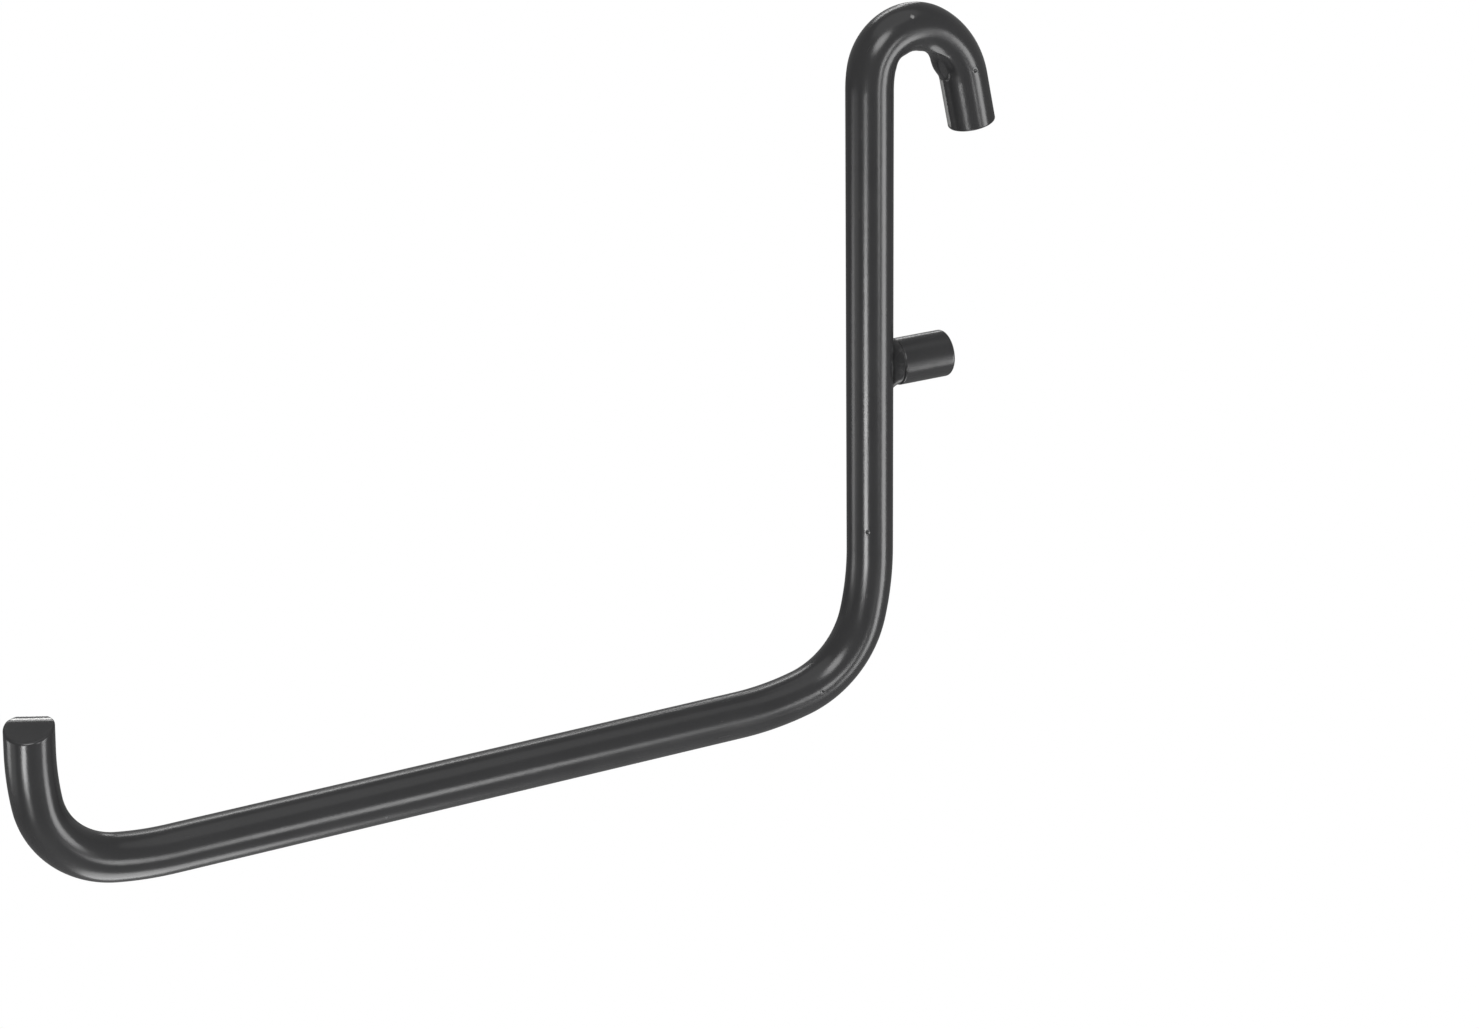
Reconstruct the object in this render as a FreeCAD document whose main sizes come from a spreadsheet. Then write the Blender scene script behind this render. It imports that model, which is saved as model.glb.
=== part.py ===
import FreeCAD, Part
import math
import os
import Sketcher
from FreeCAD import Placement, Rotation, Vector

# Pegboard hook: one bent steel rod with a short peg of the same rod welded to its back.
# Frame in millimetres: +Z up the shank, +Y into the board, the arm along -Y. The origin is on the
# front face of the board, where the peg's axis meets it, so the shank's back lies in the plane Y = 0.

SIZES = [
    ("rod_diameter", 3.6, "over the coating, for 6.35 holes on a 25.4 pitch"),
    ("end_rounding", 0.15, "edge of the square-cut ends after deburring and coating"),
    ("shank_above_peg", 21.5, "straight shank from the peg's axis up to the J"),
    ("shank_below_peg", 14.7, "straight shank from the peg's axis down to the elbow"),
    ("j_entry_radius", 8.2, "centre line of the J where the shank starts to turn"),
    ("j_entry_angle", 10.0, "turn made at that radius"),
    ("j_radius", 3.4, "centre line of the J round the bending pin"),
    ("j_exit_radius", 5.9, "centre line of the J where the rod leaves the pin"),
    ("j_exit_angle", 48.0, "turn made at that radius"),
    ("j_turn", 168.3, "whole turn of the J, which leaves its end splayed off the board"),
    ("j_end_length", 3.7, "straight end behind the board"),
    ("elbow_radius", 7.5, "centre line in the middle of the elbow"),
    ("elbow_ease_radius", 22.9, "centre line where the elbow starts and ends"),
    ("elbow_ease_angle", 13.7, "turn made at that radius, at each side"),
    ("elbow_turn", 90.0, "the arm stands square to the shank"),
    ("arm_length", 45.6, "straight arm between the elbow and the tip's bend"),
    ("tip_radius", 6.4, "centre line in the middle of the tip's bend"),
    ("tip_ease_radius", 23.7, "centre line where the tip's bend starts and ends"),
    ("tip_ease_angle", 10.0, "turn made at that radius, at each side"),
    ("tip_turn", 93.0, "the tip leans a little back towards the shank"),
    ("tip_length", 1.95, "straight tip up to the ridge of its cropped end"),
    ("crop_turn", 26.6, "the crop's ridge, turned about the tip from the hook's plane"),
    ("crop_slope", 18.0, "fall of the crop's broad facet"),
    ("crop_ridge_setback", 0.3, "ridge behind the tip's axis"),
    ("crop_flat_depth", 1.0, "level flat behind the ridge"),
    ("crop_back_angle", 60.0, "fall of the small facet behind the flat"),
    ("crop_rounding", 0.15, "edges of the crop under the coating"),
    ("peg_reach", 4.7, "peg's end behind the board's front face"),
    ("weld_gap", 0.4, "weld metal between the shank's back and the peg's flat end"),
    ("weld_width", 3.2, "weld across the peg's flat end"),
    ("weld_half_height", 1.72, "weld above and below the peg's axis, at the peg's flat end"),
    ("weld_waist", 1.5, "weld across the plane of the shank's back"),
    ("weld_root", 0.8, "weld across where it would reach a quarter of the way into the shank"),
    ("weld_foot_rise", 1.85, "weld's foot above the peg's axis"),
    ("weld_foot_drop", 2.2, "weld's foot below the peg's axis, where the metal ran down"),
]

doc = FreeCAD.newDocument("pegboard_hook")
sheet = doc.addObject("Spreadsheet::Sheet", "size")
for row, (alias, value, note) in enumerate(SIZES, start=1):
    sheet.set(f"A{row}", note)
    sheet.set(f"B{row}", str(value))
    sheet.setAlias(f"B{row}", alias)
doc.recompute()


def now(expression):
    """The present value of an expression of the sizes."""
    return float(sheet.evalExpression(expression))


def sketch_on(body, role, name):
    """A sketch on one of the body's own origin planes."""
    sketch = body.newObject("Sketcher::SketchObject", name)
    plane = next(feature for feature in body.Origin.OriginFeatures if feature.Role == role)
    sketch.AttachmentSupport = [(plane, "")]
    sketch.MapMode = "FlatFace"
    return sketch


def constrain(sketch, name, expression, kind, *places):
    """A dimension of a sketch, named and bound to the sizes. An angle's expression is in degrees."""
    value = now(expression)
    if kind == "Angle":
        value = math.radians(value)
        expression = f"({expression}) * 1 deg"
    index = sketch.addConstraint(Sketcher.Constraint(kind, *places, value))
    sketch.renameConstraint(index, name)
    sketch.setExpression(f"Constraints.{name}", expression)


def measure(sketch, name, kind, *places):
    """A dimension of a sketch that is read, not set."""
    index = sketch.addConstraint(Sketcher.Constraint(kind, *places, 1.0))
    sketch.setDriving(index, False)
    sketch.renameConstraint(index, name)


def relate(sketch, kind, *places):
    """A relation of a sketch that needs no size."""
    sketch.addConstraint(Sketcher.Constraint(kind, *places))


# The origin, the horizontal axis and the vertical axis of a sketch, and the ends of its pieces.
ORIGIN, ACROSS, UPRIGHT = (-1, 1), -1, -2
START, END, CENTRE = 1, 2, 3


class CentreLine:
    """The rod's centre line in the plane of the shank and the arm: straights and arcs, each tangent
    to the last. It starts on the shank at the height of the peg's axis."""

    def __init__(self, body, name, heading):
        self.sketch = sketch_on(body, "YZ_Plane", name)
        self.point = Vector(now("-size.rod_diameter / 2"), 0, 0)
        self.heading = heading
        self.last = None

    def join(self, index, near, far):
        """Ties a piece to the last one, and the first piece to the shank's place."""
        if self.last is None:
            relate(self.sketch, "PointOnObject", index, near, ACROSS)
            relate(self.sketch, "Vertical", index)
            constrain(self.sketch, "back_at_board", "size.rod_diameter / 2",
                      "DistanceX", index, near, *ORIGIN)
        else:
            relate(self.sketch, "Tangent", *self.last, index, near)
        self.last = (index, far)

    def straight(self, name, length):
        """A straight stretch of the expression's length."""
        end = self.point + self.heading * now(length)
        index = self.sketch.addGeometry(Part.LineSegment(self.point, end))
        self.join(index, START, END)
        constrain(self.sketch, name, length, "Distance", index)
        self.point = end
        return index

    def right_bend(self, name, radius, angle):
        """An arc to the right, of the expressions' radius and angle."""
        inward = Vector(self.heading.y, -self.heading.x, 0)
        centre = self.point + inward * now(radius)
        turned = Rotation(Vector(0, 0, 1), -now(angle))
        end = centre - turned.multVec(inward) * now(radius)
        first = math.atan2(end.y - centre.y, end.x - centre.x)
        circle = Part.Circle(centre, Vector(0, 0, 1), now(radius))
        arc = Part.ArcOfCircle(circle, first, first + math.radians(now(angle)))
        index = self.sketch.addGeometry(arc)
        self.join(index, END, START)
        constrain(self.sketch, f"{name}_radius", radius, "Radius", index)
        constrain(self.sketch, f"{name}_angle", angle, "Angle", index)
        self.point = end
        self.heading = turned.multVec(self.heading)

    def eased_bend(self, name):
        """A bend to the right that is tighter in its middle than where it starts and ends."""
        ease, turn = f"size.{name}_ease_angle", f"size.{name}_turn"
        self.right_bend(f"{name}_start", f"size.{name}_ease_radius", ease)
        self.right_bend(f"{name}_middle", f"size.{name}_radius", f"{turn} - 2 * {ease}")
        self.right_bend(f"{name}_finish", f"size.{name}_ease_radius", ease)


def circle(sketch, name, diameter, centre=Vector()):
    """A circle of the expression's diameter, whose centre is tied by the caller if it is off the
    origin."""
    index = sketch.addGeometry(Part.Circle(centre, Vector(0, 0, 1), now(diameter) / 2))
    constrain(sketch, name, diameter, "Diameter", index)
    if centre == Vector():
        relate(sketch, "Coincident", index, CENTRE, *ORIGIN)
    return index


def shank_section(body, name):
    """The rod's round section where the shank passes the peg's axis."""
    sketch = sketch_on(body, "XY_Plane", name)
    centre = Vector(0, now("-size.rod_diameter / 2"), 0)
    index = circle(sketch, "rod", "size.rod_diameter", centre)
    relate(sketch, "PointOnObject", index, CENTRE, UPRIGHT)
    constrain(sketch, "back_at_board", "size.rod_diameter / 2",
              "DistanceY", index, CENTRE, *ORIGIN)
    return sketch


def sweep(body, name, section, line):
    """A section carried along a centre line."""
    pipe = body.newObject("PartDesign::AdditivePipe", name)
    pipe.Profile = section
    pipe.Spine = (line.sketch, [])
    return pipe


def cut_through(body, name, sketch, length):
    """A cut to both sides of a sketch, of the expression's length in all."""
    cut = body.newObject("PartDesign::Pocket", name)
    cut.Profile = sketch
    cut.SideType = "Symmetric"
    cut.setExpression("Length", length)
    before = cut.BaseFeature.Shape.Volume
    doc.recompute()
    if not cut.Shape.Volume < before:
        raise RuntimeError(f"{name} removed nothing")
    return cut


def rims_near(shape, point, reach):
    """Names of the edges round the flat faces whose middles lie within reach of a point."""
    rims = []
    for face in shape.Faces:
        if face.Surface.TypeId == "Part::GeomPlane" and face.CenterOfMass.distanceToPoint(point) < reach:
            rims.extend(face.Edges)
    return [
        f"Edge{number}"
        for number, edge in enumerate(shape.Edges, start=1)
        if any(edge.isSame(rim) for rim in rims)
    ]


def rounded(body, name, base, point, radius):
    """The edges of the flat faces near a point, rolled to a radius."""
    fillet = body.newObject("PartDesign::Fillet", name)
    fillet.Base = (base, rims_near(base.Shape, point, now("size.rod_diameter / 2")))
    fillet.setExpression("Radius", radius)
    doc.recompute()
    return fillet


def crop_outline(body):
    """What the cropping blades take off the tip, drawn across the ridge that they leave: under it a
    broad facet, a level flat behind the ridge and a small steep facet behind that."""
    sketch = sketch_on(body, "XZ_Plane", "tip_crop")
    sketch.AttachmentOffset = Placement(Vector(), Rotation(Vector(0, 1, 0), 90))
    blank = "shank_arm_and_tip.Constraints"
    sketch.setExpression("AttachmentOffset.Rotation.Angle", "180 deg - size.crop_turn * 1 deg")
    sketch.setExpression("AttachmentOffset.Base.y", f"size.tip_length * 1 mm - {blank}.tip_drop")
    sketch.setExpression("AttachmentOffset.Base.z", f"{blank}.tip_reach")

    clear = now("size.rod_diameter")
    ridge = now("size.crop_ridge_setback")
    flat_end = ridge + now("size.crop_flat_depth")
    facet_fall = (clear + ridge) * math.tan(math.radians(now("size.crop_slope")))
    back_fall = (clear - flat_end) * math.tan(math.radians(now("size.crop_back_angle")))
    corners = [
        Vector(-clear, -facet_fall, 0),
        Vector(ridge, 0, 0),
        Vector(flat_end, 0, 0),
        Vector(clear, -back_fall, 0),
        Vector(clear, 2 * clear, 0),
        Vector(-clear, 2 * clear, 0),
    ]
    facet, level, back, far_side, top, near_side = (
        sketch.addGeometry(Part.LineSegment(corner, following))
        for corner, following in zip(corners, corners[1:] + corners[:1])
    )
    for line, following in ((facet, level), (level, back), (back, far_side),
                            (far_side, top), (top, near_side), (near_side, facet)):
        relate(sketch, "Coincident", line, END, following, START)
    for line in (level, top):
        relate(sketch, "Horizontal", line)
    for line in (far_side, near_side):
        relate(sketch, "Vertical", line)
    relate(sketch, "PointOnObject", level, START, ACROSS)
    constrain(sketch, "setback", "size.crop_ridge_setback", "DistanceX", *ORIGIN, level, START)
    constrain(sketch, "flat_depth", "size.crop_flat_depth", "DistanceX", level, START, level, END)
    constrain(sketch, "facet_slope", "size.crop_slope", "Angle", facet)
    constrain(sketch, "back_slope", "-size.crop_back_angle", "Angle", back)
    constrain(sketch, "far_clear", "size.rod_diameter", "DistanceX", *ORIGIN, back, END)
    constrain(sketch, "near_clear", "size.rod_diameter", "DistanceX", facet, START, *ORIGIN)
    constrain(sketch, "top_clear", "2 * size.rod_diameter", "DistanceY", *ORIGIN, top, START)
    return sketch


def hook_rod():
    """The bent rod, from its square-cut end behind the board to its cropped tip."""
    body = doc.addObject("PartDesign::Body", "hook_rod")
    section = shank_section(body, "rod_section")

    upper = CentreLine(body, "shank_and_j", Vector(0, 1, 0))
    upper.straight("shank_above", "size.shank_above_peg")
    upper.right_bend("j_entry", "size.j_entry_radius", "size.j_entry_angle")
    upper.right_bend("j_middle", "size.j_radius",
                     "size.j_turn - size.j_entry_angle - size.j_exit_angle")
    upper.right_bend("j_exit", "size.j_exit_radius", "size.j_exit_angle")
    upper.straight("j_end", "size.j_end_length")

    # The tip's blank is left long, and the crop then takes its end off.
    lower = CentreLine(body, "shank_arm_and_tip", Vector(0, -1, 0))
    lower.straight("shank_below", "size.shank_below_peg")
    lower.eased_bend("elbow")
    lower.straight("arm", "size.arm_length")
    lower.eased_bend("tip")
    blank = lower.straight("tip_blank", "size.tip_length + size.rod_diameter")
    measure(lower.sketch, "tip_reach", "DistanceX", blank, START, *ORIGIN)
    measure(lower.sketch, "tip_drop", "DistanceY", blank, START, *ORIGIN)

    sweep(body, "j_rod", section, upper)
    sweep(body, "arm_rod", section, lower)
    doc.recompute()
    outline = crop_outline(body)
    doc.recompute()
    cropped = cut_through(body, "cropped_tip", outline, "2 * size.rod_diameter")
    j_end = Vector(0, upper.point.x, upper.point.y)
    deburred = rounded(body, "j_end_edge", cropped, j_end, "size.end_rounding")
    rounded(body, "crop_edges", deburred, outline.Placement.Base, "size.crop_rounding")
    return body


def locating_peg():
    """The peg that goes into the hole under the J: the same rod, cut square at both ends."""
    body = doc.addObject("PartDesign::Body", "locating_peg")
    sketch = sketch_on(body, "XZ_Plane", "peg_section")
    sketch.setExpression("AttachmentOffset.Base.z", "-size.weld_gap")
    circle(sketch, "rod", "size.rod_diameter")
    peg = body.newObject("PartDesign::Pad", "peg_blank")
    peg.Profile = sketch
    peg.Reversed = True
    peg.setExpression("Length", "size.peg_reach - size.weld_gap")
    doc.recompute()
    root = rounded(body, "root_edge", peg, Vector(0, now("size.weld_gap"), 0), "size.end_rounding")
    rounded(body, "end_edge", root, Vector(0, now("size.peg_reach"), 0), "size.end_rounding")
    return body


def weld_section(body, name, depth, width, rise, drop):
    """A slot-shaped section of the weld, at the expression's depth behind the board's front. It
    stands upright, rises and drops so far from the peg's axis, and is rounded to its full width."""
    sketch = sketch_on(body, "XZ_Plane", name)
    sketch.setExpression("AttachmentOffset.Base.z", f"-({depth})")
    radius = now(width) / 2
    upper, lower = Vector(0, now(rise) - radius, 0), Vector(0, radius - now(drop), 0)
    across = Vector(radius, 0, 0)
    top, bottom = (
        sketch.addGeometry(Part.ArcOfCircle(Part.Circle(centre, Vector(0, 0, 1), radius), first, last))
        for centre, first, last in ((upper, 0, math.pi), (lower, math.pi, 2 * math.pi))
    )
    left = sketch.addGeometry(Part.LineSegment(upper - across, lower - across))
    right = sketch.addGeometry(Part.LineSegment(lower + across, upper + across))
    for piece, following in ((top, left), (left, bottom), (bottom, right), (right, top)):
        relate(sketch, "Tangent", piece, END, following, START)
    relate(sketch, "Vertical", left)
    relate(sketch, "PointOnObject", top, CENTRE, UPRIGHT)
    constrain(sketch, "width", width, "DistanceX", left, START, right, END)
    constrain(sketch, "upper", f"{rise} - {width} / 2", "DistanceY", *ORIGIN, top, CENTRE)
    constrain(sketch, "lower", f"{drop} - {width} / 2", "DistanceY", bottom, CENTRE, *ORIGIN)
    return sketch


def peg_weld():
    """The weld metal that joins the peg's flat end to the round back of the shank: broad under the
    peg, with a narrow waist at the shank, and run down a little under the peg. It is carried inside
    the shank and then cut to the shank's round, so that it seats on it."""
    body = doc.addObject("PartDesign::Body", "peg_weld")
    spread = ("size.weld_half_height", "size.weld_half_height")
    foot = ("size.weld_foot_rise", "size.weld_foot_drop")
    at_peg = weld_section(body, "at_peg", "size.weld_gap", "size.weld_width", *spread)
    at_back = weld_section(body, "at_back", "0 * size.weld_gap", "size.weld_waist", *foot)
    in_shank = weld_section(body, "in_shank", "-size.rod_diameter / 4", "size.weld_root", *foot)
    metal = body.newObject("PartDesign::AdditiveLoft", "weld_metal")
    metal.Profile = at_peg
    metal.Sections = [at_back, in_shank]
    metal.Ruled = True
    doc.recompute()
    seat = shank_section(body, "shank_round")
    cut_through(body, "shank_seat", seat, "2 * size.weld_foot_rise + 2 * size.weld_foot_drop")
    return body


pieces = [hook_rod(), locating_peg(), peg_weld()]

for item in doc.Objects:
    if any(word in item.State for word in ("Invalid", "Error")):
        raise RuntimeError(f"{item.Label} failed: {item.State}")
for body in pieces:
    if body.Shape.isNull() or not body.Shape.isValid():
        raise RuntimeError(f"{body.Label} has no valid shape")

os.makedirs("parts", exist_ok=True)
for body in pieces:
    body.Shape.exportStep(f"parts/{body.Label}.step")
    print(body.Label, f"{body.Shape.Volume:.2f} cubic millimetres")
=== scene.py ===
import math

import bmesh
import bpy
from mathutils import Matrix, Vector, noise


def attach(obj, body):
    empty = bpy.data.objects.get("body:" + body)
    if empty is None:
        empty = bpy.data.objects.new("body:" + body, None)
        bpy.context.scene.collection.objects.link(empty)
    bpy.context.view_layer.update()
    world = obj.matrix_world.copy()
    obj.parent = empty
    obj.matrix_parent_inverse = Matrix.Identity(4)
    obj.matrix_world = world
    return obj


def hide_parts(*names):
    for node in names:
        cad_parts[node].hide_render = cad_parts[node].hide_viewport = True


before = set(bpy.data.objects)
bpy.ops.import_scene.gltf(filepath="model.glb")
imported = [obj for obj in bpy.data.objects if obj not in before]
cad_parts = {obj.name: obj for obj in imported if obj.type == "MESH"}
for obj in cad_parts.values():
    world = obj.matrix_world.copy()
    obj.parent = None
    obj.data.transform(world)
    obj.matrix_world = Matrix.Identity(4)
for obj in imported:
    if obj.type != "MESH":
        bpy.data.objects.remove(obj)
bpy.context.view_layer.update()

# BENT ROD
# The hook itself is one length of 3.6 mm steel rod, cut off the coil and bent cold three times in
# one plane: a tight J that hangs behind the board, a square elbow and a turned-up tip. Its end
# behind the board is sheared square, the tip is cropped, and satin black powder is baked on last.

# Drawn a hair under 3.6 mm, so that the round bends stay inside the frame's box. The shank's axis
# stands half of 3.6 mm in front of the board.
ROD_DIAMETER = 0.003571
ROD_RADIUS = ROD_DIAMETER / 2
AXIS_SETBACK = 0.0018
END_ROUNDING = 0.00015
COLUMNS = 128
# The tube's rows lie close on the J and at the pits: how far each stretch goes, and its rows.
ROWS = [
    ("J", 0.0156, 205),
    ("Shank", 0.0504, 110),
    ("Shank pit", 0.0514, 11),
    ("Elbow start", 0.0649, 56),
    ("Elbow pit", 0.0659, 11),
    ("Rest", None, 280),
]

# The runs from the end behind the board to the tip: a straight has a length, a bend has a radius
# and a turn in degrees, to the left positive. The peg stands where the fifth run ends.
RUNS = [
    ("J end", 0.0037, None),
    ("J exit", 0.0059, 48.0),
    ("J middle", 0.0034, 110.3),
    ("J entry", 0.0082, 10.0),
    ("Shank above peg", 0.0215, None),
    ("Shank below peg", 0.0147, None),
    ("Elbow start", 0.0229, -13.7),
    ("Elbow middle", 0.0075, -62.6),
    ("Elbow finish", 0.0229, -13.7),
    ("Arm", 0.0456, None),
    ("Tip bend start", 0.0237, -10.0),
    ("Tip bend middle", 0.0064, -73.0),
    ("Tip bend finish", 0.0237, -10.0),
    ("Tip", 0.00195, None),
]
RUNS_TO_PEG = 5
# The way the rod sets out from the J's end, in degrees from +Y towards +Z.
J_END_HEADING = 101.7
# The cropped tip: the slopes of its facet and of its back, the way the facet falls, counted from
# +X towards -Y, how far behind the rod's axis the level crest starts, and how deep it is.
CROP_SLOPE, CROP_BACK_SLOPE = 15.0, 60.0
CROP_TURN = 26.6
RIDGE_SETBACK, FLAT_DEPTH = 0.0006, 0.0007
# The tube's last row stands this far short of the tip, below the facet's lowest edge.
CROP_MARGIN = 0.00125
# Unevenness of the powder, too small to see as a form: its depth, and its scale and seed as noise.
RELIEF, RELIEF_SCALE, RELIEF_SEED = 0.0000035, 900.0, 7.0


class Wire:
    """A node's output, or a bare node tree. Sums on it add the Math nodes that work them out."""

    def __init__(self, tree, socket=None):
        self.tree, self.socket = tree, socket

    def node(self, kind, settings, sockets, output=0):
        """A node of a kind, its settings first and then the values or links of its sockets."""
        node = self.tree.nodes.new(kind)
        for name, value in settings.items():
            setattr(node, name, value)
        for name, value in sockets.items():
            if isinstance(value, Wire):
                self.tree.links.new(value.socket, node.inputs[name])
            else:
                node.inputs[name].default_value = value
        return Wire(self.tree, node.outputs[output] if node.outputs else None)

    def math(self, operation, *values):
        return self.node("ShaderNodeMath", {"operation": operation}, dict(enumerate(values)))

    def vector(self, operation, *values, **named):
        sockets = {**dict(enumerate(values)), **named}
        return self.node("ShaderNodeVectorMath", {"operation": operation}, sockets)

    def clamped(self, value):
        return self.node("ShaderNodeClamp", {}, {"Value": value, "Min": 0.0, "Max": 1.0})

    def __add__(self, other):
        return self.math("ADD", self, other)

    def __sub__(self, other):
        return self.math("SUBTRACT", self, other)

    def __rsub__(self, other):
        return self.math("SUBTRACT", other, self)

    def __mul__(self, other):
        return self.math("MULTIPLY", self, other)

    def __truediv__(self, other):
        return self.math("DIVIDE", self, other)

    __radd__, __rmul__ = __add__, __mul__


# The rule of the rod: its heading is the sum of the turns made so far, its centre line adds up the
# steps along that heading, and a tube is laid round the centre line.
rule = bpy.data.node_groups.new("bent_rod", "GeometryNodeTree")
rule.interface.new_socket("Rod", in_out="OUTPUT", socket_type="NodeSocketGeometry")
sizes = {
    "Diameter": ROD_DIAMETER,
    "Axis setback": AXIS_SETBACK,
    "First row": 2 * END_ROUNDING,
    "Crop margin": CROP_MARGIN,
    "Relief": RELIEF,
    "Relief scale": RELIEF_SCALE,
    "Relief seed": RELIEF_SEED,
}
for name, size, turn in RUNS:
    if turn is None:
        sizes[f"{name} length"] = size
    else:
        sizes[f"{name} radius"], sizes[f"{name} turn"] = size, math.radians(turn)
for name, reach, count in ROWS[:-1]:
    sizes[f"{name} rows reach"] = reach
for name in sizes:
    rule.interface.new_socket(name, in_out="INPUT", socket_type="NodeSocketFloat")
rule.interface.new_socket("Material", in_out="INPUT", socket_type="NodeSocketMaterial")

entry = rule.nodes.new("NodeGroupInput")
given = {name: Wire(rule, entry.outputs[name]) for name in [*sizes, "Material"]}
tree = Wire(rule)

bends, reached = [], given["J end length"]
for number, (name, size, turn) in enumerate(RUNS[1:], start=2):
    if turn is None:
        length = given[f"{name} length"]
    else:
        bend = given[f"{name} turn"]
        length = given[f"{name} radius"] * bend.math("ABSOLUTE", bend)
        bends.append((reached, length, bend))
    reached = reached + length
    if number == RUNS_TO_PEG:
        peg_place = reached


def heading(along):
    """The way the rod goes, in radians, so far from the J's end."""
    angle = math.radians(J_END_HEADING)
    for start, length, bend in bends:
        angle = angle + tree.clamped((along - start) / length) * bend
    return angle


def in_plane(across, up):
    return tree.node("ShaderNodeCombineXYZ", {}, {"X": 0.0, "Y": across, "Z": up})


# The centre line is added up over this many points.
SPINE_POINTS = 6001
step = reached / (SPINE_POINTS - 1)
index = tree.node("GeometryNodeInputIndex", {}, {})
middle = heading((index - 0.5) * step)
stride = step * tree.math("MINIMUM", index, 1.0)
ahead, upwards = middle.math("COSINE", middle) * stride, middle.math("SINE", middle) * stride
walked = tree.node("GeometryNodeAccumulateField", {"data_type": "FLOAT_VECTOR"},
                   {"Value": in_plane(ahead, upwards)})
dots = tree.node("GeometryNodeMeshLine", {}, {"Count": SPINE_POINTS, "Offset": (0, 0, 0)})
spine = tree.node("GeometryNodeSetPosition", {}, {"Geometry": dots, "Position": walked})


def spine_at(along):
    """The centre line's place so far along it, between the two points next to it."""
    exact = along / step
    below = exact.math("FLOOR", exact)
    here = tree.node("GeometryNodeInputPosition", {}, {})
    places = [
        tree.node("GeometryNodeSampleIndex", {"data_type": "FLOAT_VECTOR"},
                  {"Geometry": spine, "Value": here, "Index": number})
        for number in (below, below + 1.0)
    ]
    return tree.node("ShaderNodeMix", {"data_type": "VECTOR"},
                     {"Factor": exact - below, 4: places[0], 5: places[1]}, output=1)


all_rows = sum(count for name, reach, count in ROWS)
tube = tree.node(
    "GeometryNodeMeshCylinder", {"fill_type": "NONE"},
    {"Vertices": COLUMNS, "Side Segments": all_rows, "Radius": 1.0, "Depth": 1.0},
)
corner = tree.node("GeometryNodeInputPosition", {}, {})
across, inside, level = (
    tree.node("ShaderNodeSeparateXYZ", {}, {0: corner}, output=part) for part in "XYZ"
)
row = (level + 0.5) * all_rows
along, begin, passed = given["First row"], given["First row"], 0
for name, reach, count in ROWS:
    stop = given[f"{name} rows reach"] if reach else reached - given["Crop margin"]
    along = along + (stop - begin) * tree.clamped((row - passed) / count)
    begin, passed = stop, passed + count
around = inside.math("ARCTAN2", inside, 0.0 - across)
turned = heading(along)
left = in_plane(0.0 - turned.math("SINE", turned), turned.math("COSINE", turned))
outward = tree.vector(
    "ADD", tree.vector("SCALE", left, Scale=inside),
    tree.node("ShaderNodeCombineXYZ", {}, {"X": 0.0 - across, "Y": 0.0, "Z": 0.0}),
)
home = tree.vector("SUBTRACT", spine_at(along), spine_at(peg_place))
on_axis = tree.vector("ADD", home, in_plane(0.0 - given["Axis setback"], 0.0))
ideal = tree.vector("ADD", on_axis, tree.vector("SCALE", outward, Scale=given["Diameter"] / 2.0))
ripple = tree.node(
    "ShaderNodeTexNoise", {"noise_dimensions": "4D"},
    {"Vector": ideal, "W": given["Relief seed"], "Scale": given["Relief scale"], "Detail": 1.0},
)
sinking = tree.vector("SCALE", outward, Scale=0.0 - ripple * given["Relief"])
relieved = tree.vector("ADD", ideal, sinking)
noted = tree.node("GeometryNodeStoreNamedAttribute", {"data_type": "FLOAT"},
                  {"Geometry": tube, "Name": "along", "Value": along})
noted = tree.node("GeometryNodeStoreNamedAttribute", {"data_type": "FLOAT"},
                  {"Geometry": noted, "Name": "around", "Value": around})
laid = tree.node("GeometryNodeSetPosition", {}, {"Geometry": noted, "Position": relieved})
smooth = tree.node("GeometryNodeSetShadeSmooth", {}, {"Geometry": laid})
real = tree.node("GeometryNodeRealizeInstances", {}, {"Geometry": smooth})
coated = tree.node("GeometryNodeSetMaterial", {},
                   {"Geometry": real, "Material": given["Material"]})
tree.node("NodeGroupOutput", {}, {0: coated})


def run_length(name, size, turn):
    return size if turn is None else size * math.radians(abs(turn))


def directions(angle):
    """The rod's direction and its left side at a heading."""
    across, up = math.cos(angle), math.sin(angle)
    return Vector((0, across, up)), Vector((0, -up, across))


def rod_at(along):
    """The centre line's place, the rod's direction and its left side, so far from the J's end."""
    place, angle, start = Vector(), math.radians(J_END_HEADING), 0.0
    for name, size, turn in RUNS:
        forward, to_left = directions(angle)
        length = run_length(name, size, turn)
        done = min(max(along - start, 0.0), length)
        if turn is None:
            place += forward * done
        else:
            bent = math.copysign(done / size, turn)
            place += size * math.sin(abs(bent)) * forward
            place += size * math.copysign(1 - math.cos(bent), turn) * to_left
            angle += bent
        start += length
    return place, *directions(angle)


to_peg = sum(run_length(*run) for run in RUNS[:RUNS_TO_PEG])
to_frame = Vector((0, -AXIS_SETBACK, 0)) - rod_at(to_peg)[0]
tip_end, tip_axis = rod_at(sum(run_length(*run) for run in RUNS))[:2]
j_end, j_axis, j_side = rod_at(0.0)
crest, j_end = tip_end + to_frame, j_end + to_frame

# The powder's darker and lighter shade, the scales of its clouds and of its specks of dust, and
# how much of the shade each of them sets.
DARK_POWDER, LIGHT_POWDER = (0.024, 0.024, 0.0248, 1), (0.036, 0.036, 0.0372, 1)
CLOUD_SCALE, SPECK_SCALE = 260.0, 5200.0
CLOUD_SHARE, SPECK_SHARE = 0.7, 0.3
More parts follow.
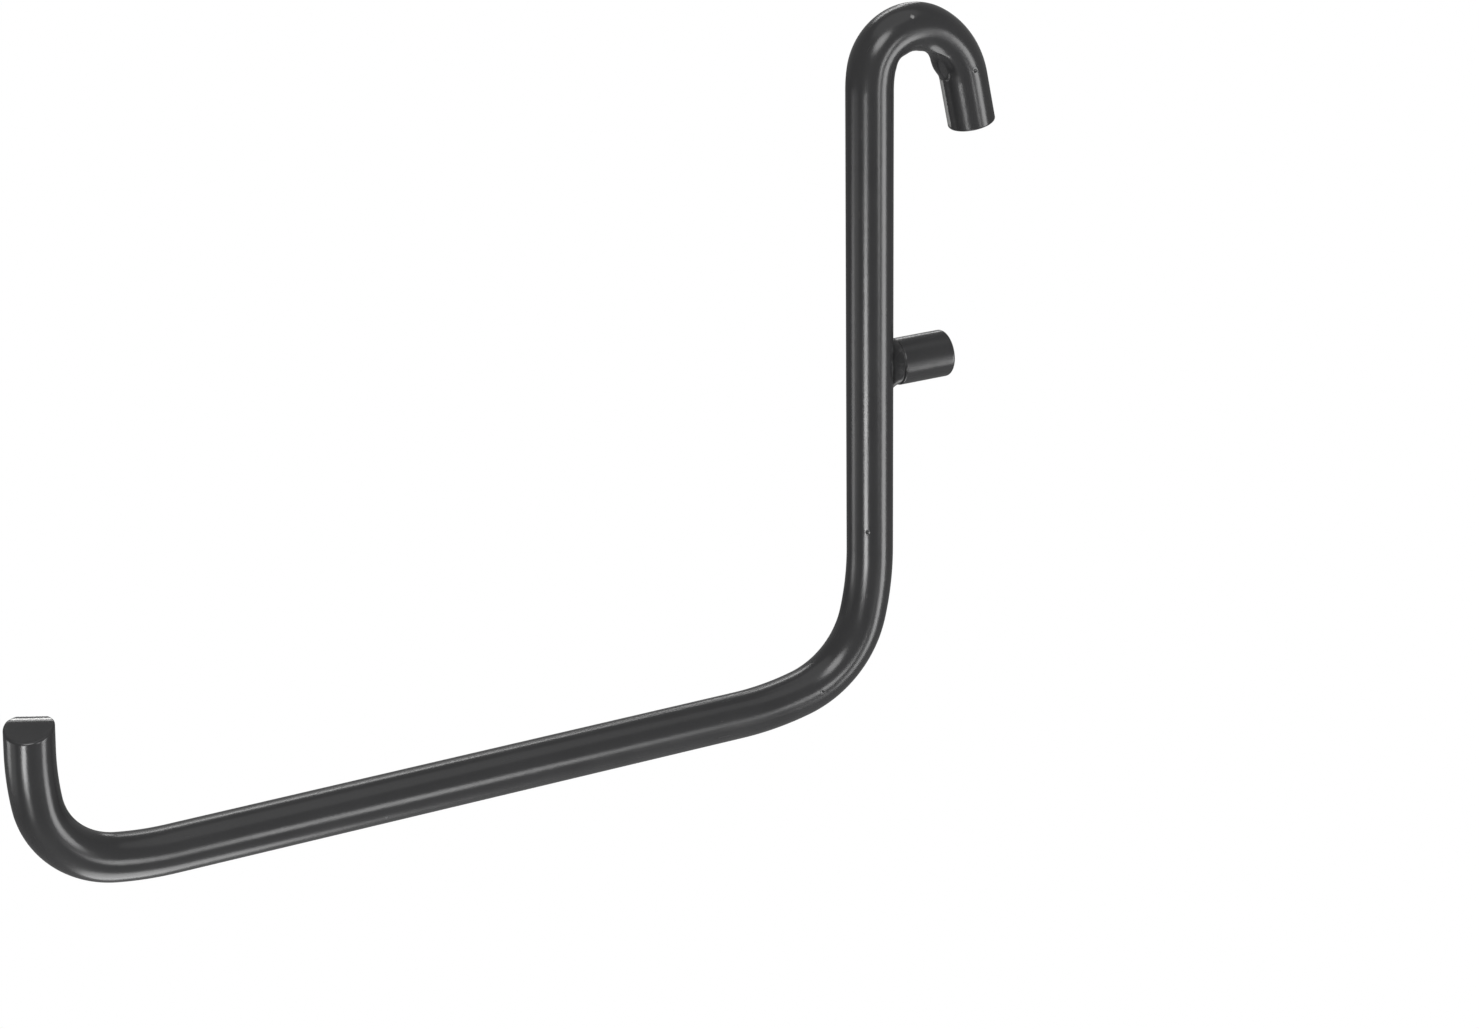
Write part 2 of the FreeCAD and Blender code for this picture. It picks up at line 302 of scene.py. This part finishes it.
# Hair scratches show where a stretched noise and the clouds are both above a limit: the limit and
# the fade of each. Then how much clouds and scratches dull the gloss, and what the bump makes of
# specks and scratches.
HAIR_TURN, HAIR_SCALE = (0.5, 0.3, 0.9), (9000.0, 260.0, 260.0)
HAIR_LIMIT, HAIR_FADE = 0.70, 0.06
SCUFFED_LIMIT, SCUFFED_FADE = 0.5, 0.1
CLOUD_DULLING, SCUFF_DULLING = 0.08, 0.12
SPECK_HEIGHT, SCUFF_DEPTH = 0.12, 0.2
# Where the powder is worn on the tip's crest, and where a light line is painted on the J's end as
# a
# painted highlight: from, to, and the fade at both. On the tip's crest that is counted behind the
# rod's axis, to its sides and down from the top, on the J's end across it, along it and towards
# the side that faces the shank.
CREST_BACK = (RIDGE_SETBACK + 0.00012, RIDGE_SETBACK + 0.00042, 0.00005)
CREST_SIDES = (-0.0015, 0.0015, 0.00005)
CREST_SKIN, CREST_SKIN_FADE = 0.00001, 0.000008
END_HIGHLIGHT_ACROSS = (-0.0012, 0.0001, 0.00008)
END_HIGHLIGHT_ALONG = (0.0002, 0.0041, 0.0002)
END_HIGHLIGHT_INWARDS = (0.0, 2 * ROD_RADIUS, 0.0001)
# A ragged light speck painted on top of the J: a painted glint.
GLINT_SPOT, GLINT_RADIUS = Vector((0.00135, 0.00102, 0.02685)), 0.00018
GLINT_RAGGED, GLINT_FADE = 0.0003, 0.00012
# The bare steel's shade, which is also the colour of the painted highlights, and how much of it is
# painted on the J's end and in the speck on top of the J.
WORN_STEEL_AND_HIGHLIGHT = (0.66, 0.66, 0.65, 1)
END_HIGHLIGHT_SHARE, GLINT_SHARE = 0.6, 0.35


def powder_coat(name, roughness, peel_size, peel_height, wear_and_highlights):
    """Satin black powder: faintly cloudy, with a fine orange peel, dust specks and hair scratches.
    Where it is worn, the level crest of the tip shows the steel. A light line painted along the
    side of the J's end that faces the shank, and a light speck painted on top of the J, are
    painted highlights."""
    material = bpy.data.materials.new(name)
    material.use_nodes = True
    material.node_tree.nodes.clear()
    powder = Wire(material.node_tree)
    place = powder.node("ShaderNodeTexCoord", {}, {}, output="Object")

    def mottle(**sockets):
        return powder.node("ShaderNodeTexNoise", {}, sockets)

    def blend(share, first, second):
        return powder.node("ShaderNodeMix", {"data_type": "RGBA"},
                           {"Factor": share, 6: first, 7: second}, output=2)

    clouds = mottle(Vector=place, Scale=CLOUD_SCALE, Detail=3.0)
    specks = mottle(Vector=place, Scale=SPECK_SCALE, Detail=2.0)
    peel = mottle(Vector=place, Scale=1 / peel_size, Detail=2.0, Roughness=0.55)
    stretched = powder.node("ShaderNodeMapping", {},
                            {"Vector": place, "Rotation": HAIR_TURN, "Scale": HAIR_SCALE})
    hairs = mottle(Vector=stretched, Scale=1.0, Detail=1.0)
    scuffs = powder.clamped((hairs - HAIR_LIMIT) / HAIR_FADE)
    scuffs = scuffs * powder.clamped((clouds - SCUFFED_LIMIT) / SCUFFED_FADE)
    shade = blend(clouds * CLOUD_SHARE + specks * SPECK_SHARE, DARK_POWDER, LIGHT_POWDER)
    dulled = roughness + clouds * CLOUD_DULLING + scuffs * SCUFF_DULLING
    bare = 0.0
    if wear_and_highlights:
        x, y, z = (
            powder.node("ShaderNodeSeparateXYZ", {}, {0: place}, output=part) for part in "XYZ"
        )

        def between(value, low, high, fade):
            wavy = value + (specks - 0.5) * (2 * fade)
            return powder.clamped((wavy - low) / fade) * powder.clamped((high - wavy) / fade)

        turn = math.radians(CROP_TURN)
        back = (y - crest.y) * math.sin(turn) - (x - crest.x) * math.cos(turn)
        sideways = (x - crest.x) * math.sin(turn) + (y - crest.y) * math.cos(turn)
        bare = between(back, *CREST_BACK) * between(sideways, *CREST_SIDES)
        bare = bare * powder.clamped((z - (crest.z - CREST_SKIN)) / CREST_SKIN_FADE)
        # A light line painted along the side of the J's end that faces the shank: a painted
        # highlight.
        inwards = (y - j_end.y) * j_side.y + (z - j_end.z) * j_side.z
        onwards = (y - j_end.y) * j_axis.y + (z - j_end.z) * j_axis.z
        painted_end_highlight = between(x, *END_HIGHLIGHT_ACROSS) * between(onwards, *END_HIGHLIGHT_ALONG)
        painted_end_highlight = painted_end_highlight * between(inwards, *END_HIGHLIGHT_INWARDS)
        # A ragged light speck painted on top of the J: a painted glint.
        away = powder.node("ShaderNodeVectorMath", {"operation": "DISTANCE"},
                           {0: place, 1: GLINT_SPOT}, output=1)
        ragged = GLINT_RADIUS - away + (specks - 0.5) * GLINT_RAGGED
        painted_glint = powder.clamped(ragged / GLINT_FADE)
        # The painted highlights take the steel's shade as a plain light colour, without its metal
        # gloss.
        shade = blend(bare + painted_end_highlight * END_HIGHLIGHT_SHARE + painted_glint * GLINT_SHARE, shade, WORN_STEEL_AND_HIGHLIGHT)
    height = peel + specks * SPECK_HEIGHT - scuffs * SCUFF_DEPTH
    relief = powder.node("ShaderNodeBump", {},
                         {"Strength": 1.0, "Distance": peel_height, "Height": height})
    satin = powder.node(
        "ShaderNodeBsdfPrincipled", {},
        {"Base Color": shade, "Roughness": dulled, "IOR": 1.5, "Metallic": bare, "Normal": relief},
    )
    powder.node("ShaderNodeOutputMaterial", {}, {"Surface": satin})
    return material


satin_black = powder_coat("satin_black_powder", roughness=0.19, peel_size=0.00067,
                          peel_height=0.0000045, wear_and_highlights=True)

steel = bpy.data.objects.new("bent_rod", bpy.data.meshes.new("bent_rod"))
bpy.context.scene.collection.objects.link(steel)
bending = steel.modifiers.new("bending", "NODES")
bending.node_group = rule
for item in rule.interface.items_tree:
    if item.in_out == "INPUT":
        bending[item.identifier] = sizes.get(item.name, satin_black)
bpy.context.view_layer.update()
blank = bpy.data.meshes.new_from_object(steel.evaluated_get(bpy.context.evaluated_depsgraph_get()))
steel.modifiers.remove(bending)
steel.data = blank

# The tube's corners, row by row from the J's end, each row in order round the rod.
rod = bmesh.new()
rod.from_mesh(blank)
along_rod, around_rod = rod.verts.layers.float["along"], rod.verts.layers.float["around"]
MICROMETRES, MILLIMETRES = 1e6, 1e3
rows = {}
for corner in rod.verts:
    rows.setdefault(round(corner[along_rod] * MICROMETRES), []).append(corner)
rows = [sorted(rows[place], key=lambda corner: corner[around_rod]) for place in sorted(rows)]

# Places on the rod are in millimetres from the J's end and in degrees from the side that faces +X.
# The inside of the J is at 90, and a mark there fades out over this many degrees.
INSIDE, INSIDE_SPREAD = 90, 75
# The bending tool left a shallow mark on the shank's side of the J: its place, reach and depth.
MARK_PLACE, MARK_REACH, MARK_DEPTH = 13.3, 1.3, 0.14
# Nearer the J's end it pressed a flat, which comes in over one stretch of degrees and goes out
# over another. It starts with a ramp, which is stretched on the side towards +X.
PRESSED_DEPTH = 0.19
PRESSED_IN, PRESSED_OUT = (30, 56), (120, 150)
RAMP_START, RAMP_END = 4.15, 4.5
RAMP_STRETCH, STRETCH_SIDES = 1.2, (75, 55)
# The flat ends in a crease, beyond which the surface curves up again. On the side towards +X the
# crease lies nearer the J's end and the rise is shorter: from 67 degrees down, over 30 degrees.
CREASE, CREASE_SHIFT = 8.15, 1.4
RISE, RISE_LOSS, RISE_CURVE = 1.5, 1.2, 1.7
SIDE_FROM, SIDE_RANGE = 67, 30
# From the inside of the J round to its far side the flat starts late, and the metal before it is
# pushed up.
PUSHED_SIDES, LATE_FLAT = (62, 82), (6.1, 7.6)
PUSHED_PLACE, PUSHED_REACH, PUSHED_HEIGHT = 5.45, 1.25, 0.15
# Pits and one pimple: place, degrees, half width and depth in millimetres. Each has a low rim,
# whose height and half width are shares of the pit's.
PITS = [
    (4.54, -6, 0.18, 0.07),
    (50.88, -35, 0.17, 0.045),
    (65.39, -7, 0.17, 0.045),
    (10.92, -41, 0.21, 0.025),
    (14.49, -74, 0.30, -0.015),
]
RIM_HEIGHT, RIM_WIDTH = 0.2, 0.6


def swell(value, half_width):
    """One at nothing and nothing beyond the half width, smooth between."""
    share = min(abs(value) / half_width, 1.0)
    return (1 - share * share) ** 2


def ease(value, first, last):
    """Nothing at the first and one at the last, smooth between."""
    share = min(max((value - first) / (last - first), 0.0), 1.0)
    return share * share * (3 - 2 * share)


def pressed_in(along, around):
    """How far below the round the surface lies, in millimetres: the marks that the bending tool
    pressed into the inside of the J, and the pits."""
    depth = MARK_DEPTH * swell(along - MARK_PLACE, MARK_REACH)
    depth *= swell(around - INSIDE, INSIDE_SPREAD)
    side = min(max((SIDE_FROM - around) / SIDE_RANGE, 0.0), 1.0)
    crease, rise = CREASE - CREASE_SHIFT * side, RISE - RISE_LOSS * side
    if along < crease:
        ramp_end = RAMP_END + RAMP_STRETCH * ease(around, *STRETCH_SIDES)
        flat = PRESSED_DEPTH * ease(along, RAMP_START, ramp_end)
    else:
        flat = PRESSED_DEPTH * max(1 - (along - crease) / rise, 0.0) ** RISE_CURVE
    under = ease(around, *PUSHED_SIDES)
    pushed_up = PUSHED_HEIGHT * swell(along - PUSHED_PLACE, PUSHED_REACH)
    flat = flat * (1 - under) + (flat * ease(along, *LATE_FLAT) - pushed_up) * under
    depth += flat * ease(around, *PRESSED_IN) * (1 - ease(around, *PRESSED_OUT))
    for place, turn, half_width, pit in PITS:
        beside = math.radians(around - turn) * ROD_RADIUS * MILLIMETRES
        away = math.hypot(along - place, beside)
        if away < 2 * half_width:
            rim = RIM_HEIGHT * swell(away - half_width, RIM_WIDTH * half_width)
            depth += pit * (swell(away, half_width) - rim)
    return depth


for row in rows:
    middle = sum((corner.co for corner in row), Vector()) / COLUMNS
    for corner in row:
        place = corner[along_rod] * MILLIMETRES, math.degrees(corner[around_rod])
        corner.co -= (corner.co - middle).normalized() * pressed_in(*place) / MILLIMETRES


def join_rings(mesh, below, above):
    for k in range(len(below)):
        mesh.faces.new((below[k - 1], below[k], above[k], above[k - 1]))


def close_ring(mesh, ring, place):
    centre = mesh.verts.new(place)
    for one, other in zip(ring, ring[1:] + ring[:1]):
        mesh.faces.new((one, other, centre))


# The steps of the wall, the rounded edge and the cut face at a cut end.
WALL_STEPS, EDGE_STEPS, CUT_STEPS = 6, 8, 22


def close_end(mesh, ring, axis, roof, rounding):
    """Carries the wall on to the cut, rolls the edge over and fills the cut face. The roof gives
    the height of the cut along the axis for a place beside it."""
    middle = sum((corner.co for corner in ring), Vector()) / len(ring)
    spokes = [corner.co - middle for corner in ring]
    steps = [(1.0, part / WALL_STEPS, 0.0) for part in range(1, WALL_STEPS)]
    for part in range(EDGE_STEPS + 1):
        angle = math.radians(90) * part / EDGE_STEPS
        inset = rounding * (1 - math.cos(angle)) / ROD_RADIUS
        steps.append((1.0 - inset, 1.0, rounding * (1 - math.sin(angle))))
    flat = 1.0 - rounding / ROD_RADIUS
    steps += [(flat * (1 - part / CUT_STEPS), 1.0, 0.0) for part in range(1, CUT_STEPS)]
    last = ring
    for share, rise, drop in steps:
        here = [middle + spoke * share for spoke in spokes]
        fall = drop if rise == 1.0 else rounding * rise
        new = [mesh.verts.new(spot + axis * (roof(spot) * rise - fall)) for spot in here]
        join_rings(mesh, last, new)
        last = new
    close_ring(mesh, last, middle + axis * roof(middle))


close_end(rod, rows[0], -j_axis, lambda spot: 2 * END_ROUNDING, END_ROUNDING)

# The cropping blades leave three faces on the tip, which meet in two ridges: a long slope towards
# the right front, a narrow level crest, and a steep back.
falling = Vector((math.cos(math.radians(CROP_TURN)), -math.sin(math.radians(CROP_TURN)), 0))
slope, back_slope = math.radians(CROP_SLOPE), math.radians(CROP_BACK_SLOPE)
cuts = [
    (crest, Vector((0, 0, 1))),
    (crest - falling * RIDGE_SETBACK, falling * math.sin(slope) + Vector((0, 0, math.cos(slope)))),
    (crest - falling * (RIDGE_SETBACK + FLAT_DEPTH),
     Vector((0, 0, math.cos(back_slope))) - falling * math.sin(back_slope)),
]
RIDGE_SHARPNESS = 60000.0


def crop_roof(spot):
    """The height of the lowest cut over a place, the ridges between cuts a little rounded."""
    heights = [(point - spot).dot(normal) / tip_axis.dot(normal) for point, normal in cuts]
    lowest = min(heights)
    spread = sum(math.exp(RIDGE_SHARPNESS * (lowest - height)) for height in heights)
    return lowest - math.log(spread) / RIDGE_SHARPNESS


close_end(rod, rows[-1], tip_axis, crop_roof, END_ROUNDING)


def finish_piece(mesh, data, coat):
    """Turns the faces outwards, smooths them and puts the one coat on the whole piece."""
    bmesh.ops.recalc_face_normals(mesh, faces=mesh.faces[:])
    for face in mesh.faces:
        face.smooth, face.material_index = True, 0
    mesh.to_mesh(data)
    mesh.free()
    data.materials.clear()
    data.materials.append(coat)


finish_piece(rod, blank, satin_black)
blank.name = "bent_rod"
for name in ("along", "around"):
    blank.attributes.remove(blank.attributes[name])
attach(steel, "root")
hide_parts("hook_rod")

# LOCATING PEG
# A short length of the same rod with both ends cut square. It stands out from the back of the
# shank, where it goes into the hole of the board below the J's, and has the same satin powder.
PEG_END, PEG_TOP = 0.0004, 0.0047
PEG_ROUNDING, WELDED_RIM = 0.00024, 0.00013
PEG_ROWS = 24
first, last = PEG_END + 2 * WELDED_RIM, PEG_TOP - 2 * PEG_ROUNDING
peg_rod = bmesh.new()
rings = []
for part in range(PEG_ROWS + 1):
    across = first + (last - first) * part / PEG_ROWS
    ring = []
    for k in range(COLUMNS):
        angle = math.tau * k / COLUMNS
        spot = Vector((ROD_RADIUS * math.cos(angle), across, ROD_RADIUS * math.sin(angle)))
        sunk = RELIEF * (0.5 + 0.5 * noise.noise(spot * RELIEF_SCALE))
        thinner = Vector((1 - sunk / ROD_RADIUS, 1.0, 1 - sunk / ROD_RADIUS))
        ring.append(peg_rod.verts.new(spot * thinner))
    rings.append(ring)
for below, above in zip(rings, rings[1:]):
    join_rings(peg_rod, below, above)
close_end(peg_rod, rings[0], Vector((0, -1, 0)), lambda spot: 2 * WELDED_RIM, WELDED_RIM)
close_end(peg_rod, rings[-1], Vector((0, 1, 0)), lambda spot: 2 * PEG_ROUNDING, PEG_ROUNDING)
peg_mesh = bpy.data.meshes.new("peg_rod")
finish_piece(peg_rod, peg_mesh, satin_black)
peg = bpy.data.objects.new("peg_rod", peg_mesh)
bpy.context.scene.collection.objects.link(peg)
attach(peg, "root")
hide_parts("locating_peg")

# WELD
# The bead of weld metal that fills the gap between the peg's flat end and the round shank. It is
# run in by hand, so it sags below the peg, and the powder lies thinner and rougher over it.
WELD_COLUMNS, WELD_ROWS = 96, 14
# Half sizes at the peg's end and at the foot on the shank: to the top and to the bottom, and to
# the sides above and below the peg's axis, which pass into each other over this part of the rise.
WELD_NECK = (0.00178, 0.00172, 0.00177, 0.00160)
WELD_FOOT = (0.00182, 0.00230, 0.00085, 0.00080)
SIDES_MEET = (-0.1, 0.3)
# How far the bead curves in towards the corner below the peg, how deep its foot sinks into the
# shank's powder, and the height and size of its lumps.
HOLLOW = 0.30
FOOT_SINK = 0.00003
LUMPS, LUMP_SIZE = 0.00003, 0.0006


def weld_reach(half_sizes, angle):
    """The bead's outline round the peg's axis: a rounded form with a top, a bottom and sides."""
    upper, lower, high_side, low_side = half_sizes
    high = upper if math.sin(angle) > 0 else lower
    side = low_side + (high_side - low_side) * ease(math.sin(angle), *SIDES_MEET)
    return Vector((side * math.cos(angle), 0, high * math.sin(angle)))


def on_shank(spot):
    """The place on the shank's round, just under its powder, behind a place beside it."""
    inner = ROD_RADIUS - FOOT_SINK
    return Vector((spot.x, -AXIS_SETBACK + math.sqrt(inner * inner - spot.x * spot.x), spot.z))


bead = bmesh.new()
rings = []
for part in range(WELD_ROWS + 1):
    share = part / WELD_ROWS
    ring = []
    for k in range(WELD_COLUMNS):
        angle = math.tau * k / WELD_COLUMNS
        foot, neck = on_shank(weld_reach(WELD_FOOT, angle)), weld_reach(WELD_NECK, angle)
        neck.y = PEG_END
        hollow = HOLLOW * max(-math.sin(angle), 0.0)
        waist = neck.lerp(foot, 0.5) + hollow * Vector((0, foot.y - neck.y, neck.z - foot.z))
        spot = foot.lerp(waist, share).lerp(waist.lerp(neck, share), share)
        lump = noise.noise(spot / LUMP_SIZE) * LUMPS * math.sin(math.pi * share)
        outwards = Vector((spot.x, 0, spot.z)).normalized()
        ring.append(bead.verts.new(spot + outwards * lump))
    rings.append(ring)
for below, above in zip(rings, rings[1:]):
    join_rings(bead, below, above)


def fill_ring(mesh, ring, place, rounds=8):
    """Closes a ring with narrower rings and a middle, each put in its place on the hidden face."""
    last = ring
    middle = sum((corner.co for corner in ring), Vector()) / len(ring)
    for part in range(1, rounds):
        new = [mesh.verts.new(place(corner.co.lerp(middle, part / rounds))) for corner in ring]
        join_rings(mesh, last, new)
        last = new
    close_ring(mesh, last, place(middle))


fill_ring(bead, rings[0], on_shank)
fill_ring(bead, rings[-1], lambda spot: Vector((spot.x, PEG_END, spot.z)))
weld_mesh = bpy.data.meshes.new("weld_bead")
rough_black = powder_coat("black_powder_over_weld", roughness=0.24, peel_size=0.0005,
                          peel_height=0.000009, wear_and_highlights=False)
finish_piece(bead, weld_mesh, rough_black)
weld = bpy.data.objects.new("weld_bead", weld_mesh)
bpy.context.scene.collection.objects.link(weld)
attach(weld, "root")
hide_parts("peg_weld")

# FLOOR AND BACKGROUND
# A pale paper floor and pale surroundings, both white in the picture. The coating mirrors only a
# trace of that white, because the far side of a studio is dark from where the hook hangs.
FLOOR_LEVEL, FLOOR_RADIUS = -0.45, 3.0
PAPER_SHADE, ROOM_SHADE = (0.35, 0.35, 0.35, 1), (0.25, 0.25, 0.25, 1)
SEEN_IN_GLOSS = 0.06


def white_to_camera(wire, dim):
    """A shader that is white where the camera sees it, and dim for the light that it sends."""
    rays = {name: wire.node("ShaderNodeLightPath", {}, {}, output=f"Is {name} Ray")
            for name in ("Camera", "Glossy", "Transmission")}
    share = rays["Camera"] + (rays["Glossy"] + rays["Transmission"]) * SEEN_IN_GLOSS
    white = wire.node("ShaderNodeEmission", {}, {"Color": (1, 1, 1, 1), "Strength": 1.0})
    return wire.node("ShaderNodeMixShader", {}, {0: share, 1: dim, 2: white})


bpy.ops.mesh.primitive_circle_add(vertices=96, radius=FLOOR_RADIUS, fill_type="NGON",
                                  location=(0, 0, FLOOR_LEVEL))
floor = bpy.context.object
floor.name = "floor"
paper = bpy.data.materials.new("pale_paper")
paper.use_nodes = True
paper.node_tree.nodes.clear()
sheet = Wire(paper.node_tree)
lit = sheet.node("ShaderNodeBsdfDiffuse", {}, {"Color": PAPER_SHADE})
sheet.node("ShaderNodeOutputMaterial", {}, {"Surface": white_to_camera(sheet, lit)})
floor.data.materials.append(paper)

world = bpy.data.worlds.new("studio")
bpy.context.scene.world = world
world.use_nodes = True
world.node_tree.nodes.clear()
room = Wire(world.node_tree)
walls = room.node("ShaderNodeBackground", {}, {"Color": ROOM_SHADE})
room.node("ShaderNodeOutputWorld", {}, {"Surface": white_to_camera(room, walls)})

# SOFTBOXES
# Oval softboxes round the hook, each facing it. They are placed by the streaks and the dark bands
# between them: azimuth from +Y towards +X, height above the level, distance, width, height, light.
HOOK_MIDDLE = Vector((0, -0.035, 0))
SOFTBOXES = [
    ("front_low", 136, -22.5, 0.68, 0.21, 0.12, 18.5),
    ("right_low", 44, -17, 0.60, 0.22, 0.40, 6.3),
    ("right_high", 72, -7.5, 0.90, 0.15, 0.32, 8.2),
    ("front_high", 118, 36, 0.90, 0.50, 0.44, 6.0),
    ("top", 115, 80, 0.90, 1.30, 1.00, 0.55),
    ("fill_left", 190, -20, 0.66, 0.40, 0.22, 0.75),
    ("under", 80, -80, 0.42, 0.19, 0.32, 4.6),
    ("back_left", -76, 37, 0.60, 0.34, 0.09, 6.0),
    ("back", -71, 24, 0.55, 0.22, 0.09, 1.1),
    ("back_low", -58, 18, 0.55, 0.09, 0.07, 5.0),
    ("left_low", -151, -21, 0.75, 0.25, 0.13, 3.2),
]
for name, azimuth, elevation, distance, width, height, radiance in SOFTBOXES:
    a, e = math.radians(azimuth), math.radians(elevation)
    back = Vector((math.sin(a) * math.cos(e), math.cos(a) * math.cos(e), math.sin(e)))
    light = bpy.data.lights.new(name, "AREA")
    light.shape = "ELLIPSE"
    light.size, light.size_y = width, height
    # The power is the radiance times the oval's area and pi.
    light.energy = radiance * math.pi * math.pi * width * height / 4
    softbox = bpy.data.objects.new(name, light)
    bpy.context.scene.collection.objects.link(softbox)
    softbox.location = HOOK_MIDDLE + back * distance
    softbox.rotation_mode = "QUATERNION"
    softbox.rotation_quaternion = back.to_track_quat("Z", "Y")
    softbox.visible_camera = False

# CAMERA
# A long lens, above the arm and to the right of the hook, level to within a degree. The picture is
# 1479 by 1029 pixels, and the axis of the lens meets its middle.
PHOTO_WIDTH = 1479
FOCAL_PIXELS = 3572.765
SENSOR_WIDTH = 36.0
CAMERA_PLACE = Vector((0.220939, -0.127106, 0.090244))
bearing, dip, roll = math.radians(27.309), math.radians(21.911), math.radians(-0.874)
lens = bpy.data.cameras.new("camera")
lens.sensor_fit = "HORIZONTAL"
lens.sensor_width = SENSOR_WIDTH
lens.lens = FOCAL_PIXELS / PHOTO_WIDTH * SENSOR_WIDTH
lens.clip_start = 0.01
lens.clip_end = 10.0
camera = bpy.data.objects.new("camera", lens)
bpy.context.scene.collection.objects.link(camera)
level_right = Vector((math.sin(bearing), math.cos(bearing), 0.0))
away = Vector((-math.cos(bearing), math.sin(bearing), 0.0))
gaze = away * math.cos(dip) - Vector((0, 0, math.sin(dip)))
level_up = level_right.cross(gaze)
right = level_right * math.cos(roll) + level_up * math.sin(roll)
up = level_up * math.cos(roll) - level_right * math.sin(roll)
camera.matrix_world = Matrix((
    (right.x, up.x, -gaze.x, CAMERA_PLACE.x),
    (right.y, up.y, -gaze.y, CAMERA_PLACE.y),
    (right.z, up.z, -gaze.z, CAMERA_PLACE.z),
    (0, 0, 0, 1),
))
bpy.context.scene.camera = camera

bpy.context.scene.view_settings.view_transform = "Standard"
